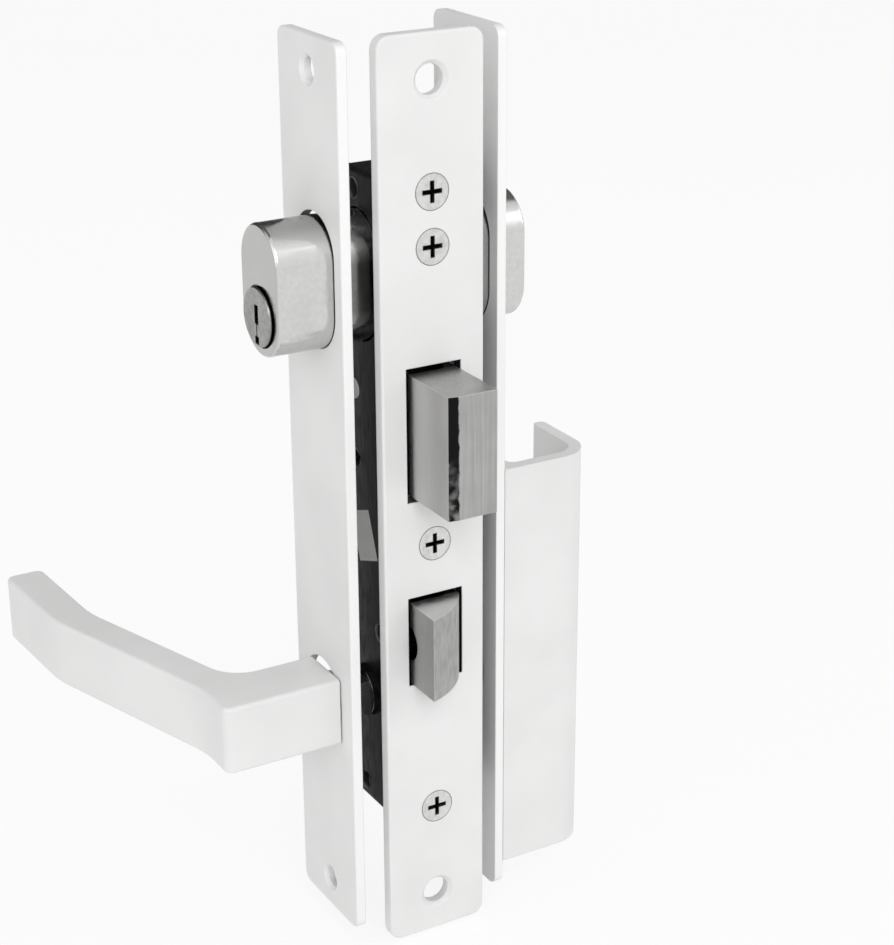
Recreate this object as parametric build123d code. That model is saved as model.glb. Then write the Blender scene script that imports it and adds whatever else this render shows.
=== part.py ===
from build123d import *
import math
import os

# Narrow-stile mortise lockset. Millimetres, +Z up, +Y into the door edge, +X to the pull side.
# The origin is the middle of the faceplate's rear face, where it meets the door edge.

# Faceplate on the door edge
face_width = 24.8
face_end_margin = 9.75
face_thickness = 3.0
face_corner = 3.0
face_edge_round = 0.6
mount_spacing = 190.5
mount_hole_radius = 3.2
mount_sink_radius = 4.1

# Lock case behind the faceplate
case_half_width = 9.5
case_height = 150.0
case_depth = 30.0
case_sheet = 1.5
case_bend = 1.2
end_wall_depth = 17.8
end_notch_height = 4.5
tab_thickness = 2.0
case_screw_inset = 2.75
middle_screw_rise = 0.6
tab_half_height = 3.2
post_radius = 2.5
post_neck_radius = 1.7
rivet_head_radius = 2.4
rivet_head_height = 0.6
post_side_y = 14.0
post_wall_gap = 0.3
post_below_plug = 4.7
post_below_screw = 3.7

# Countersunk screws with a crossed recess
screw_head_radius = 4.0
screw_radius = 1.95
screw_length = 9.0
cylinder_screw_above_plug = 13.9
cylinder_screw_length = 14.0
recess_length = 4.6
recess_width = 0.95
recess_depth = 1.3
fit_gap = 0.05
overcut = 1.0

# One vertical line carries the key cylinder and the lever
axis_y = 12.25

# Door stile and the two plates that cover it
stile_thickness = 35.0
plate_thickness = 2.3
plate_width = 26.6
plate_end_margin = 7.25
plate_centre_z = 1.4
plate_corner = 2.5
plate_edge_round = 0.4
plate_hole_spacing = 190.5
plate_hole_radius = 2.6
plate_sink_radius = 3.4
plate_bore_radius = 9.0
plate_bore_shift_y = 1.8
plate_bore_shift_z = 0.8
plate_oval_side_gap = 0.35
plate_oval_low_gap = 0.15
plate_oval_high_gap = 1.0

# Oval double key cylinder
oval_width = 17.4
oval_height = 28.6
plug_below_case_top = 28.3
cylinder_left_x = -32.7
cylinder_right_x = 26.9
cylinder_edge_round = 0.8
cylinder_case_gap = 0.4
bridge_clearance = 8.3
cam_slot_half_width = 6.0

# Key plugs and pins
plug_radius = 6.4
plug_face_ring = 0.35
plug_face_ring_depth = 1.5
plug_face_proud = 0.9
plug_face_round = 0.3
plug_running_gap = 0.06
plug_end_x = 4.5
clip_thickness = 0.8
clip_width = 1.5
clip_groove_depth = 0.8
clip_opening = 4.0
key_slot_width = 1.9
key_slot_top = 2.7
key_slot_height = 4.2
key_waist_width = 0.6
key_lobe_width = 1.9
key_lobe_height = 1.7
key_foot = 5.8
keyway_end_wall = 3.0
pin_count = 5
pin_pitch = 4.0
pin_first_x = 8.2
pin_radius = 1.3
key_pin_length = 4.0
driver_pin_length = 5.0
pin_gap = 0.1
chamber_plug_radius = 1.6
chamber_plug_height = 1.2

# Deadbolt and the cam that throws it
bolt_side_room = 2.25
bolt_height = 27.5
bolt_below_plug = 27.05
bolt_throw = 16.5
bolt_bevel_width = 2.2
bolt_bevel_depth = 0.5
bolt_opening_side_gap = 0.95
bolt_opening_end_gap = 1.55
bolt_tail_behind_notch = 3.0
cam_reach = 15.5
cam_tip_radius = 1.6
cam_neck_half = 1.3
cam_half_width = 2.6
cam_hub_radius = 6.4
cam_bore_radius = 4.2
cam_notch_gap = 0.45
cam_side_gap = 0.3
core_tongue_width = 3.0
core_tongue_reach = 2.0

# Slideways inside the case
running_gap = 0.15
guide_lip = 1.5
guide_lip_inner_x = 4.2
guide_front_gap = 0.3
bolt_rivet_y = 15.4
bolt_rivet_above = 6.2
bolt_rivet_below = 10.0
guide_rivet_radius = 1.4

# Spring latch
latch_side_room = 2.0
latch_height = 19.6
latch_above_lever = 16.8
latch_projection = 9.7
latch_bulge = 1.5
latch_opening_side_gap = 0.85
latch_opening_low_gap = 0.35
latch_opening_high_gap = 1.5
latch_head_rear_y = 0.5
latch_pocket_radius = 4.4
latch_pocket_y = -1.0
latch_pocket_depth = 3.0
latch_tail_half_width = 4.0
latch_tail_height = 9.0
latch_tail_drop = 0.8
latch_lug_half_width = 3.5
latch_lug_depth = 3.5
latch_lug_below_tip = 1.5
latch_pin_radius = 1.5
latch_pin_length = 4.5
latch_guide_depth = 10.2

# Lever, square spindle and hub
lever_above_case_foot = 28.7
lever_height = 16.2
lever_neck_depth = 14.4
lever_plate_gap = 0.3
lever_outer_x = -48.2
lever_bend_start_y = 16.0
lever_bend_end_y = 66.5
lever_tip_y = 96.5
lever_sway = 16.1
lever_tip_sway = 1.5
lever_arm_thickness = 9.4
lever_corner_radius = 2.0
lever_bend_radius = 30.0
lever_crook_radius = 9.0
lever_edge_round = 0.9
lever_boss_radius = 6.3
lever_turn_degrees = 40.0
spindle_side = 8.0
spindle_in_lever = 20.0
set_screw_radius = 2.5
set_screw_x = -30.5
set_screw_recess = 1.0
set_screw_socket = 2.5
hub_radius = 6.5
hub_collar_radius = 6.0
hub_collar_reach = 1.5
hub_side_gap = 0.3
hub_bearing_gap = 0.08
hub_arm_half_width = 2.5
hub_arm_root = 2.2
hub_arm_neck_half = 1.2
hub_arm_tip_radius = 2.0
hub_arm_gap = 0.25
spring_arm_reach = 9.5
spring_arm_tip_radius = 1.6

# Coil springs of flat wire
spring_wire = 0.7
latch_spring_radius = 2.6
latch_spring_turns = 6.0
hub_spring_radius = 2.2
hub_spring_turns = 6.0
hub_spring_relief = 2.3

# Pull handle, a bent channel on the right plate
pull_height = 100.7
pull_top_z = 5.8
pull_reach = 23.8
pull_depth = 22.0
pull_wall = 3.0
pull_base_depth = 20.0
pull_corner = 8.0
pull_lip_round = 1.2
pull_root_round = 2.0
pull_screw_spacing = 56.0
pull_screw_radius = 1.9
pull_screw_head_radius = 3.6

# Places that follow from the sizes above
face_height = mount_spacing + 2 * face_end_margin
face_front_y = -face_thickness
case_inner_x = case_half_width - case_sheet
case_top_z = case_height / 2
case_inner_top_z = case_top_z - case_sheet
case_rear_y = case_depth - case_sheet
plate_height = plate_hole_spacing + 2 * plate_end_margin
plate_inner_x = stile_thickness / 2
plate_outer_x = plate_inner_x + plate_thickness
plate_centre_y = plate_width / 2
plug_z = case_top_z - plug_below_case_top
cylinder_screw_z = plug_z + cylinder_screw_above_plug
oval_centre_z = plug_z + (oval_height - oval_width) / 2
oval_top_z = oval_centre_z + oval_height / 2
bolt_half = case_inner_x - bolt_side_room
bolt_centre_z = plug_z - bolt_below_plug
bolt_top_z = bolt_centre_z + bolt_height / 2
bolt_low_z = bolt_centre_z - bolt_height / 2
cam_swing = math.degrees(math.asin(bolt_throw / 2 / cam_reach))
cam_tip_y = axis_y - bolt_throw / 2
notch_half = cam_tip_radius + cam_notch_gap
bolt_rear_y = cam_tip_y + notch_half + bolt_tail_behind_notch
lever_axis_z = lever_above_case_foot - case_top_z
latch_half = case_inner_x - latch_side_room
latch_centre_z = lever_axis_z + latch_above_lever
latch_top_z = latch_centre_z + latch_height / 2
latch_low_z = latch_centre_z - latch_height / 2
latch_nose_y = face_front_y - latch_projection
middle_screw_z = (bolt_low_z + latch_top_z) / 2 + middle_screw_rise
case_screw_z = (case_top_z - case_screw_inset, middle_screw_z, case_screw_inset - case_top_z)
post_rear_z = (plug_z - post_below_plug, middle_screw_z - post_below_screw)
hub_arm_lean = lever_turn_degrees / 2
hub_arm_reach = latch_projection / 2 / math.sin(math.radians(hub_arm_lean))
hub_tip_y = axis_y - latch_projection / 2
hub_tip_z = lever_axis_z + hub_arm_reach * math.cos(math.radians(hub_arm_lean))
lug_front_y = hub_tip_y + hub_arm_tip_radius + hub_arm_gap
lug_rear_y = lug_front_y + latch_lug_depth
latch_tail_top_z = latch_top_z - latch_tail_drop
latch_tail_low_z = latch_tail_top_z - latch_tail_height
latch_pin_z = (latch_tail_top_z + latch_tail_low_z) / 2
lever_low_z = lever_axis_z - lever_height / 2
lever_neck_x = -(plate_outer_x + lever_plate_gap)
spring_tip_y = axis_y + spring_arm_reach * math.sin(math.radians(hub_arm_lean))
spring_tip_z = lever_axis_z - spring_arm_reach * math.cos(math.radians(hub_arm_lean))
pull_outer_x = plate_outer_x + pull_reach
pull_low_z = pull_top_z - pull_height
pull_mid_z = pull_top_z - pull_height / 2


def block(x0, x1, y0, y1, z0, z1):
    """Box between two opposite corners."""
    return Pos((x0 + x1) / 2, (y0 + y1) / 2, (z0 + z1) / 2) * Box(x1 - x0, y1 - y0, z1 - z0)


def rod_x(y, z, radius, x0, x1):
    """Round bar along X."""
    return Pos((x0 + x1) / 2, y, z) * Rot(0, 90, 0) * Cylinder(radius, x1 - x0)


def rod_y(x, z, radius, y0, y1):
    """Round bar along Y."""
    return Pos(x, (y0 + y1) / 2, z) * Rot(90, 0, 0) * Cylinder(radius, y1 - y0)


def rod_z(x, y, radius, z0, z1):
    """Round bar along Z."""
    return Pos(x, y, (z0 + z1) / 2) * Cylinder(radius, z1 - z0)


def oval_bar(x0, x1, side_gap=0.0, low_gap=0.0, high_gap=0.0):
    """Upright oval bar along X round the key cylinder's outline, grown by the gaps."""
    height = oval_height + low_gap + high_gap
    width = oval_width + 2 * side_gap
    middle_z = oval_centre_z + (high_gap - low_gap) / 2
    outline = Pos(axis_y, middle_z) * SlotOverall(height, width, rotation=90)
    return extrude(Plane.YZ.offset(x0) * outline, amount=x1 - x0)


def sink_cone(small_radius, big_radius):
    """Countersink of 90 degrees with its wide end at the origin, narrowing along +Z."""
    depth = big_radius - small_radius
    return Pos(0, 0, depth / 2) * Cone(big_radius, small_radius, depth)


def countersunk_screw(head_radius, shank_radius, length):
    """Flat-headed screw along +Z, its head's face at the origin, with a crossed recess."""
    screw = sink_cone(shank_radius, head_radius) + Cylinder(
        shank_radius, length, align=(Align.CENTER, Align.CENTER, Align.MIN)
    )
    for angle in (0, 90):
        slot = Rot(0, 0, angle) * Box(recess_length, recess_width, 2 * recess_depth)
        screw -= slot
    return screw


def screw_seat(head_radius, shank_radius, length):
    """Space that a countersunk screw fills, a little wider than the screw."""
    seat = sink_cone(shank_radius + fit_gap, head_radius + fit_gap)
    bore = Cylinder(shank_radius + fit_gap, length, align=(Align.CENTER, Align.CENTER, Align.MIN))
    return seat + bore


def into_door(x, z, y=face_front_y):
    """Placement on the faceplate's front with local +Z pointing into the door."""
    return Pos(x, y, z) * Rot(-90, 0, 0)


def tapered_bar(start, end, start_half, end_half, tip_radius, x_half):
    """Arm in the YZ plane that narrows from start to end and carries a round tip."""
    direction = Vector(end[0] - start[0], end[1] - start[1]).normalized()
    side = Vector(-direction.Y, direction.X)
    corners = [
        (start[0] + side.X * start_half, start[1] + side.Y * start_half),
        (start[0] - side.X * start_half, start[1] - side.Y * start_half),
        (end[0] - side.X * end_half, end[1] - side.Y * end_half),
        (end[0] + side.X * end_half, end[1] + side.Y * end_half),
    ]
    outline = make_face(Polyline(*corners, close=True)) + Pos(*end) * Circle(tip_radius)
    return extrude(Plane.YZ.offset(-x_half) * outline, amount=2 * x_half)


def coil_spring(radius, turns, length):
    """Compression spring of square wire along +Z from the origin."""
    rise = length - spring_wire
    path = Helix(pitch=rise / turns, height=rise, radius=radius)
    section = Plane(path @ 0, x_dir=(1, 0, 0), z_dir=path % 0) * Rectangle(spring_wire, spring_wire)
    return Pos(0, 0, spring_wire / 2) * sweep(section, path=path, is_frenet=True)


def bolt_opening(y0, y1):
    """Window in the faceplate for the deadbolt."""
    half_x = bolt_half + bolt_opening_side_gap
    half_z = bolt_height / 2 + bolt_opening_end_gap
    return block(-half_x, half_x, y0, y1, bolt_centre_z - half_z, bolt_centre_z + half_z)


def latch_opening(y0, y1):
    """Window in the faceplate for the latch."""
    half_x = latch_half + latch_opening_side_gap
    low_z = latch_low_z - latch_opening_low_gap
    return block(-half_x, half_x, y0, y1, low_z, latch_top_z + latch_opening_high_gap)


def make_faceplate():
    """Flat plate on the door edge with its windows, mounting holes and screw seats."""
    outline = RectangleRounded(face_width, face_height, face_corner)
    plate = extrude(Plane.XZ * outline, amount=face_thickness)
    front_edges = plate.faces().sort_by(Axis.Y)[0].edges()
    plate = fillet(front_edges, face_edge_round)
    plate -= bolt_opening(face_front_y - overcut, overcut)
    plate -= latch_opening(face_front_y - overcut, overcut)
    for side in (1, -1):
        place = into_door(0, side * mount_spacing / 2)
        plate -= place * screw_seat(mount_sink_radius, mount_hole_radius - fit_gap, face_thickness + overcut)
    for z in (*case_screw_z, cylinder_screw_z):
        plate -= into_door(0, z) * screw_seat(screw_head_radius, screw_radius, face_thickness + overcut)
    return plate


def make_faceplate_screws():
    """Three screws that hold the faceplate on the case's front tabs."""
    screw = countersunk_screw(screw_head_radius, screw_radius, screw_length)
    return [into_door(0, z) * screw for z in case_screw_z]


def make_cylinder_screw():
    """Long screw through the faceplate into the key cylinder's bridge."""
    screw = countersunk_screw(screw_head_radius, screw_radius, cylinder_screw_length)
    return into_door(0, cylinder_screw_z) * screw


def post_places():
    """Places, as Y and Z, of the posts that join the case's two sides."""
    end_z = case_inner_top_z - post_radius - post_wall_gap
    rear_y = case_rear_y - post_radius - post_wall_gap
    return [(post_side_y, end_z), (post_side_y, -end_z)] + [(rear_y, z) for z in post_rear_z]


def guide_rivet_places():
    """Places, as Y and Z, of the rivets through each side of the case into the slideways."""
    bolt_places = [(bolt_rivet_y, bolt_centre_z + offset) for offset in (bolt_rivet_above, -bolt_rivet_below)]
    return bolt_places + [(guide_front_gap + latch_guide_depth / 2, latch_centre_z)]


def side_holes(x0, x1):
    """Openings that go through either side of the case."""
    holes = oval_bar(x0, x1, cylinder_case_gap, cylinder_case_gap, cylinder_case_gap)
    holes += rod_x(axis_y, lever_axis_z, hub_collar_radius + hub_bearing_gap, x0, x1)
    for y, z in post_places():
        holes += rod_x(y, z, post_neck_radius + fit_gap, x0, x1)
    for y, z in guide_rivet_places():
        holes += rod_x(y, z, guide_rivet_radius + fit_gap, x0, x1)
    return holes


def make_case_body():
    """Folded tray: left side, top, bottom and rear walls, and tabs for the faceplate screws."""
    outer = block(-case_half_width, case_inner_x, 0, case_depth, -case_top_z, case_top_z)
    bends = outer.edges().filter_by_position(Axis.X, -case_half_width, -case_half_width)
    bends = [edge for edge in bends if (edge @ 0.5).Y > case_sheet]
    tray = fillet(bends, case_bend)
    tray -= block(-case_inner_x, case_half_width, -1, case_rear_y, -case_inner_top_z, case_inner_top_z)
    notch_z = case_top_z - end_notch_height
    for low_z, high_z in ((notch_z, case_top_z + overcut), (-case_top_z - overcut, -notch_z)):
        tray -= block(-case_inner_x, case_half_width, end_wall_depth, case_depth + overcut, low_z, high_z)
    top_tab_low = cylinder_screw_z - tab_half_height
    middle_z = case_screw_z[1]
    tabs = [
        (top_tab_low, case_inner_top_z),
        (middle_z - tab_half_height, middle_z + tab_half_height),
        (-case_inner_top_z, case_screw_z[2] + tab_half_height),
    ]
    for low_z, high_z in tabs:
        tray += block(-case_inner_x, case_inner_x, 0, tab_thickness, low_z, high_z)
    for z in (*case_screw_z, cylinder_screw_z):
        tray -= rod_y(0, z, screw_radius + fit_gap, -1, screw_length)
    return tray - side_holes(-case_half_width - overcut, -case_inner_x + overcut)


def make_case_cover():
    """Flat right side of the case."""
    cover = block(case_inner_x, case_half_width, 0, case_depth, -case_top_z, case_top_z)
    return cover - side_holes(case_inner_x - overcut, case_half_width + overcut)


def rivet_head(x, y, z, outward):
    """Low dome on the outside of the case, along +X or -X."""
    sphere_radius = (rivet_head_radius**2 + rivet_head_height**2) / (2 * rivet_head_height)
    dome = Sphere(sphere_radius) & Pos(0, 0, sphere_radius - rivet_head_height / 2) * Box(
        2 * sphere_radius, 2 * sphere_radius, rivet_head_height
    )
    seated = Pos(0, 0, rivet_head_height - sphere_radius) * dome
    return Pos(x, y, z) * Rot(0, 90 * outward, 0) * seated


def make_case_posts():
    """Shouldered posts, riveted over on both sides of the case."""
    posts = []
    for y, z in post_places():
        post = rod_x(y, z, post_radius, -case_inner_x, case_inner_x)
        post += rod_x(y, z, post_neck_radius, -case_half_width, case_half_width)
        post += rivet_head(case_half_width, y, z, 1)
        post += rivet_head(-case_half_width, y, z, -1)
        posts.append(post)
    return posts


def make_guide_rivets():
    """Short rivets that hold the slideways on the two sides of the case."""
    rivets = []
    for side in (-1, 1):
        for y, z in guide_rivet_places():
            ends = sorted((side * case_half_width, side * (latch_half + running_gap + guide_lip / 2)))
            shank = rod_x(y, z, guide_rivet_radius, *ends)
            rivets.append(shank + rivet_head(side * case_half_width, y, z, side))
    return rivets


def slideway(side, half_width, low_z, high_z, lips, y1):
    """Strip on one side of the case with lips above, or above and below, the sliding bolt."""
    near_x = half_width + running_gap
    web_low = low_z - running_gap - (guide_lip if "low" in lips else 0)
    web_high = high_z + running_gap + guide_lip
    strip = block(near_x, case_inner_x, guide_front_gap, y1, web_low, web_high)
    strip += block(guide_lip_inner_x, case_inner_x, guide_front_gap, y1, web_high - guide_lip, web_high)
    if "low" in lips:
        strip += block(guide_lip_inner_x, case_inner_x, guide_front_gap, y1, web_low, web_low + guide_lip)
    for y, z in guide_rivet_places():
        if web_low < z < web_high:
            strip -= rod_x(y, z, guide_rivet_radius + fit_gap, near_x - overcut, case_inner_x + overcut)
    return strip if side > 0 else mirror(strip, about=Plane.YZ)


def make_bolt_guide(side):
    """Deadbolt slideway."""
    return slideway(side, bolt_half, bolt_low_z, bolt_top_z, ("low", "high"), case_rear_y - guide_front_gap)


def make_latch_guide(side):
    """Latch slideway, open below for the hub."""
    rear_y = guide_front_gap + latch_guide_depth
    return slideway(side, latch_half, latch_low_z, latch_top_z, ("high",), rear_y)


def pin_places(side):
    """X of each pin chamber on one side."""
    return [side * (pin_first_x + index * pin_pitch) for index in range(pin_count)]


def make_cylinder_body():
    """Oval body with a plug bore at each end, pin chambers above and a slot for the cam."""
    body = oval_bar(cylinder_left_x, cylinder_right_x)
    rims = body.faces().sort_by(Axis.X)[0].edges() + body.faces().sort_by(Axis.X)[-1].edges()
    body = fillet(rims, cylinder_edge_round)
    left_x = cylinder_left_x - overcut
    right_x = cylinder_right_x + overcut
    body -= rod_x(axis_y, plug_z, plug_radius + plug_running_gap, left_x, right_x)
    ring = plug_radius + plug_face_ring
    body -= rod_x(axis_y, plug_z, ring, left_x, cylinder_left_x + plug_face_ring_depth)
    body -= rod_x(axis_y, plug_z, ring, cylinder_right_x - plug_face_ring_depth, right_x)
    slot_half = cam_slot_half_width
    far_y = axis_y + oval_width
    body -= block(-slot_half, slot_half, -far_y, far_y, plug_z - oval_height, plug_z + bridge_clearance)
    chamber_top_z = oval_top_z - chamber_plug_height
    for x in pin_places(1) + pin_places(-1):
        body -= rod_z(x, axis_y, pin_radius + fit_gap, plug_z, oval_top_z)
        body -= rod_z(x, axis_y, chamber_plug_radius + fit_gap, chamber_top_z, oval_top_z + overcut)
    return body - rod_y(0, cylinder_screw_z, screw_radius + fit_gap, 0, axis_y)


def make_chamber_plugs():
    """Discs that close the pin chambers, flush with the cylinder's top."""
    low_z = oval_top_z - chamber_plug_height
    skin = oval_bar(cylinder_left_x, cylinder_right_x)
    places = pin_places(-1) + pin_places(1)
    return [rod_z(x, axis_y, chamber_plug_radius, low_z, oval_top_z) & skin for x in places]


def make_driver_pins():
    """Upper pins, just above the plugs' surface as with the right key in."""
    low_z = plug_z + plug_radius + plug_running_gap + pin_gap
    places = pin_places(-1) + pin_places(1)
    return [rod_z(x, axis_y, pin_radius, low_z, low_z + driver_pin_length) for x in places]


def make_key_pins(side):
    """Lower pins inside one plug."""
    high_z = plug_z + plug_radius - pin_gap
    return [rod_z(x, axis_y, pin_radius, high_z - key_pin_length, high_z) for x in pin_places(side)]


def keyway(x0, x1):
    """Key slot: an upper blade, a thin waist and a wider foot."""
    top_z = plug_z + key_slot_top
    foot_z = plug_z - key_foot
    steps = [
        (key_slot_width / 2, top_z - key_slot_height, top_z),
        (key_waist_width / 2, foot_z, top_z),
        (key_lobe_width / 2, foot_z, foot_z + key_lobe_height),
    ]
    return Part() + [block(x0, x1, axis_y - half, axis_y + half, low, high) for half, low, high in steps]


def make_plug(side):
    """Turned key plug with its keyway, pin chambers, clip groove and driving slot."""
    face_x = (-cylinder_left_x if side < 0 else cylinder_right_x) + plug_face_proud
    plug = rod_x(axis_y, plug_z, plug_radius, plug_end_x, face_x)
    plug = fillet(plug.faces().sort_by(Axis.X)[-1].edges(), plug_face_round)
    groove_x = cam_slot_half_width - clip_thickness - fit_gap
    groove = rod_x(axis_y, plug_z, plug_radius + overcut, groove_x - fit_gap, cam_slot_half_width - fit_gap)
    groove_floor = plug_radius - clip_groove_depth
    groove -= rod_x(axis_y, plug_z, groove_floor, groove_x - overcut, cam_slot_half_width + overcut)
    plug -= groove
    half = core_tongue_width / 2 + fit_gap
    tongue_end = plug_end_x + core_tongue_reach + fit_gap
    near_y = axis_y - plug_radius
    far_y = axis_y + plug_radius
    plug -= block(plug_end_x - overcut, tongue_end, near_y, far_y, plug_z - half, plug_z + half)
    plug -= keyway(tongue_end + keyway_end_wall / 2, face_x + overcut)
    chamber_low_z = plug_z + key_slot_top - key_slot_height
    for x in pin_places(1):
        plug -= rod_z(x, axis_y, pin_radius + fit_gap, chamber_low_z, plug_z + plug_radius)
    return plug if side > 0 else mirror(plug, about=Plane.YZ)


def make_plug_clip(side):
    """Open ring in the plug's groove that keeps the plug in the body."""
    x1 = cam_slot_half_width - fit_gap
    x0 = x1 - clip_thickness
    inner = plug_radius - clip_groove_depth + fit_gap
    clip = rod_x(axis_y, plug_z, inner + clip_width, x0, x1)
    clip -= rod_x(axis_y, plug_z, inner, x0 - overcut, x1 + overcut)
    half = clip_opening / 2
    clip -= block(x0 - overcut, x1 + overcut, axis_y - half, axis_y + half, plug_z, plug_z + 2 * plug_radius)
    return clip if side > 0 else mirror(clip, about=Plane.YZ)


def make_cam():
    """Driving ring with the nose that throws the deadbolt, leaning to the door edge."""
    half_x = plug_end_x - cam_side_gap
    lean = math.radians(cam_swing)
    tip = (axis_y - cam_reach * math.sin(lean), plug_z - cam_reach * math.cos(lean))
    root_half = cam_hub_radius / 2
    nose = tapered_bar((axis_y, plug_z), tip, root_half, cam_neck_half, cam_tip_radius, cam_half_width)
    cam = rod_x(axis_y, plug_z, cam_hub_radius, -half_x, half_x) + nose
    return cam - rod_x(axis_y, plug_z, cam_bore_radius, -half_x - overcut, half_x + overcut)


def make_clutch_core():
    """Core that ties the cam to the left plug by a flat tongue."""
    half_x = plug_end_x - cam_side_gap
    core = rod_x(axis_y, plug_z, cam_bore_radius - fit_gap, -half_x, half_x)
    half = core_tongue_width / 2
    reach = cam_bore_radius - fit_gap
    end_x = -plug_end_x - core_tongue_reach
    tongue = block(end_x, 0, axis_y - reach, axis_y + reach, plug_z - half, plug_z + half)
    return core + (tongue & rod_x(axis_y, plug_z, reach, end_x, half_x))


def make_deadbolt():
    """Solid bolt with one bevelled front edge and a notch for the cam in its top."""
    front_y = face_front_y - bolt_throw
    outline = Polyline(
        (-bolt_half, bolt_rear_y),
        (-bolt_half, front_y + bolt_bevel_depth),
        (-bolt_half + bolt_bevel_width, front_y),
        (bolt_half, front_y),
        (bolt_half, bolt_rear_y),
        close=True,
    )
    bolt = extrude(Plane.XY.offset(bolt_low_z) * make_face(outline), amount=bolt_height)
    floor_z = plug_z - cam_reach - cam_tip_radius - cam_notch_gap
    half_x = cam_half_width + cam_notch_gap
    near_y = cam_tip_y - notch_half
    far_y = cam_tip_y + notch_half
    return bolt - block(-half_x, half_x, near_y, far_y, floor_z, bolt_top_z + overcut)


def make_latch_bolt():
    """Wedge-nosed latch with a round side pocket, a tail, a driving lug and a spring pin."""
    nose = (-latch_half, latch_nose_y)
    shoulder = (latch_half, face_front_y)
    middle = ((nose[0] + shoulder[0]) / 2, (nose[1] + shoulder[1]) / 2)
    chord = Vector(shoulder[0] - nose[0], shoulder[1] - nose[1]).normalized()
    crown = (middle[0] + chord.Y * latch_bulge, middle[1] - chord.X * latch_bulge)
    rear_left = (-latch_half, latch_head_rear_y)
    rear_right = (latch_half, latch_head_rear_y)
    sides = Polyline(shoulder, rear_right, rear_left, nose)
    outline = make_face([*sides.edges(), ThreePointArc(nose, crown, shoulder)])
    latch = extrude(Plane.XY.offset(latch_low_z) * outline, amount=latch_height)
    pocket_x = -latch_half + latch_pocket_depth
    latch -= rod_x(latch_pocket_y, latch_centre_z, latch_pocket_radius, -latch_half - overcut, pocket_x)
    half = latch_tail_half_width
    latch += block(-half, half, latch_head_rear_y, lug_rear_y, latch_tail_low_z, latch_tail_top_z)
    half = latch_lug_half_width
    lug_low_z = hub_tip_z - latch_lug_below_tip
    latch += block(-half, half, lug_front_y, lug_rear_y, lug_low_z, latch_tail_low_z)
    return latch + rod_y(0, latch_pin_z, latch_pin_radius, lug_rear_y, lug_rear_y + latch_pin_length)


def make_latch_spring():
    """Spring between the latch's tail and the rear wall of the case."""
    place = Pos(0, lug_rear_y + fit_gap, latch_pin_z) * Rot(-90, 0, 0)
    length = case_rear_y - lug_rear_y - 2 * fit_gap
    return place * coil_spring(latch_spring_radius, latch_spring_turns, length)


def make_hub():
    """Lever hub: a square-holed barrel with collars, a latch arm above and a spring arm below."""
    half_x = case_inner_x - hub_side_gap
    collar_x = case_half_width + hub_collar_reach
    hub = rod_x(axis_y, lever_axis_z, hub_radius, -half_x, half_x)
    hub += rod_x(axis_y, lever_axis_z, hub_collar_radius, -collar_x, collar_x)
    centre = (axis_y, lever_axis_z)
    latch_tip = (hub_tip_y, hub_tip_z)
    spring_tip = (spring_tip_y, spring_tip_z)
    neck = hub_arm_neck_half
    hub += tapered_bar(centre, latch_tip, hub_arm_root, neck, hub_arm_tip_radius, hub_arm_half_width)
    hub += tapered_bar(centre, spring_tip, hub_arm_root, neck, spring_arm_tip_radius, hub_arm_half_width)
    half = spindle_side / 2 + fit_gap
    y, z = centre
    return hub - block(-collar_x - overcut, collar_x + overcut, y - half, y + half, z - half, z + half)


def make_hub_spring():
    """Return spring between the hub's lower arm and the rear of the faceplate."""
    length = spring_tip_y - spring_arm_tip_radius - hub_spring_relief - 2 * fit_gap
    place = Pos(0, fit_gap, spring_tip_z) * Rot(-90, 0, 0)
    return place * coil_spring(hub_spring_radius, hub_spring_turns, length)


def make_spindle():
    """Square bar from the lever's neck through the hub."""
    half = spindle_side / 2
    y, z = axis_y, lever_axis_z
    end_x = case_half_width + hub_collar_reach
    return block(lever_neck_x - spindle_in_lever, end_x, y - half, y + half, z - half, z + half)


def make_lever_handle():
    """Square-section lever: a neck out from the plate, then an arm that sways outwards and back."""
    near_y = axis_y - lever_neck_depth / 2
    far_y = axis_y + lever_neck_depth / 2
    bend_x = lever_outer_x - lever_sway
    tip_x = bend_x - lever_tip_sway
    slope = lever_sway / (lever_bend_end_y - lever_bend_start_y)
    inner_bend_x = bend_x + lever_arm_thickness
    crook_x = inner_bend_x + slope * (lever_bend_end_y - far_y)
    corners = [
        (lever_neck_x, near_y),
        (lever_outer_x, near_y),
        (lever_outer_x, lever_bend_start_y),
        (bend_x, lever_bend_end_y),
        (tip_x, lever_tip_y),
        (tip_x + lever_arm_thickness, lever_tip_y),
        (inner_bend_x, lever_bend_end_y),
        (crook_x, far_y),
        (lever_neck_x, far_y),
    ]
    radii = {1: lever_corner_radius, 2: lever_bend_radius, 3: lever_bend_radius}
    radii.update({4: lever_corner_radius, 5: lever_corner_radius})
    radii.update({6: lever_bend_radius, 7: lever_crook_radius})
    outline = make_face(Polyline(*corners, close=True))
    for index, radius in radii.items():
        corner = outline.vertices().sort_by_distance(Vector(*corners[index]))[0]
        outline = fillet(corner, radius)
    lever = extrude(Plane.XY.offset(lever_low_z) * outline, amount=lever_height)
    rims = lever.faces().sort_by(Axis.Z)[0].edges() + lever.faces().sort_by(Axis.Z)[-1].edges()
    rims = [edge for edge in rims if (edge @ 0.5).X < lever_neck_x - fit_gap]
    lever = fillet(rims, lever_edge_round)
    lever += rod_x(axis_y, lever_axis_z, lever_boss_radius, lever_neck_x, -plate_inner_x)
    half = spindle_side / 2 + fit_gap
    deep_x = lever_neck_x - spindle_in_lever - fit_gap
    lever -= block(deep_x, 0, axis_y - half, axis_y + half, lever_axis_z - half, lever_axis_z + half)
    return lever - rod_z(set_screw_x, axis_y, set_screw_radius + fit_gap, lever_low_z - overcut, lever_axis_z)


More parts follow.
